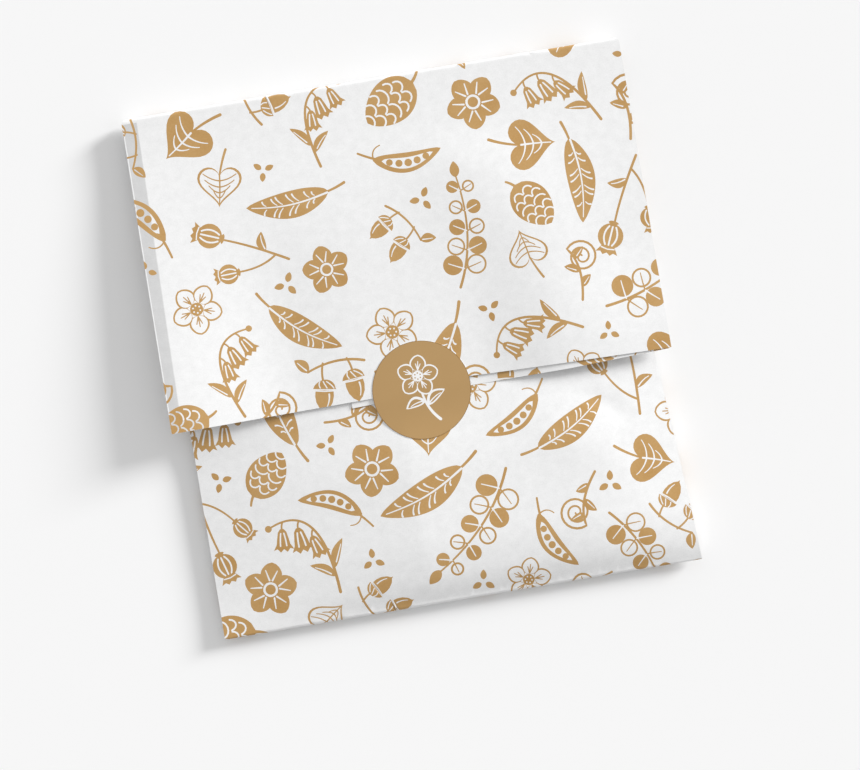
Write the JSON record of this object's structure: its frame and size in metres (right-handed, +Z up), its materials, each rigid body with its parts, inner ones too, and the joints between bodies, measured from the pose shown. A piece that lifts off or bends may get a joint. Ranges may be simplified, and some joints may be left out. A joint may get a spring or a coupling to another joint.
{
  "type": "gift bag",
  "caption": "Flat white paper gift bag of the envelope kind, its top folded forward as a lined flap over the front and sealed by a round gold sticker that peels so the flap can open.",
  "frame": {"origin": "on the surface the bag lies on, under the middle of the closed bag", "axes": "+X to the right across the front, +Y towards the top fold, +Z up out of the front"},
  "size_m": [0.2564, 0.2696, 0.0169],
  "materials": {
    "printed_paper": "matt white paper printed in gold",
    "plain_paper": "matt white paper, unprinted",
    "glue": "dried clear glue",
    "seal_paper": "satin gold sticker paper with a white motif"
  },
  "bodies": {
    "bag": {"back_panel": "printed_paper", "front_panel": "printed_paper", "bottom_fold": "printed_paper", "top_fold": "printed_paper", "left_seam_strip": "plain_paper", "right_seam_strip": "plain_paper", "left_seam_glue": "glue", "right_seam_glue": "glue"},
    "flap": {"flap": "printed_paper", "flap_lining": "plain_paper", "lining_glue": "glue", "seal_upper_half": "seal_paper"},
    "seal": {"seal_lower_half": "seal_paper"}
  },
  "joints": [
    {"name": "flap_hinge", "type": "hinge", "parent": "bag", "child": "flap", "pos_m": [0, 0.1322, 0.0061], "axis": [-1, 0, 0], "range_deg": [0, 170], "deforming": ["top_fold"]},
    {"name": "seal_peel", "type": "hinge", "parent": "flap", "child": "seal", "pos_m": [0, -0.0257, 0.0119], "axis": [-1, 0, 0], "range_deg": [0, 150]}
  ]
}
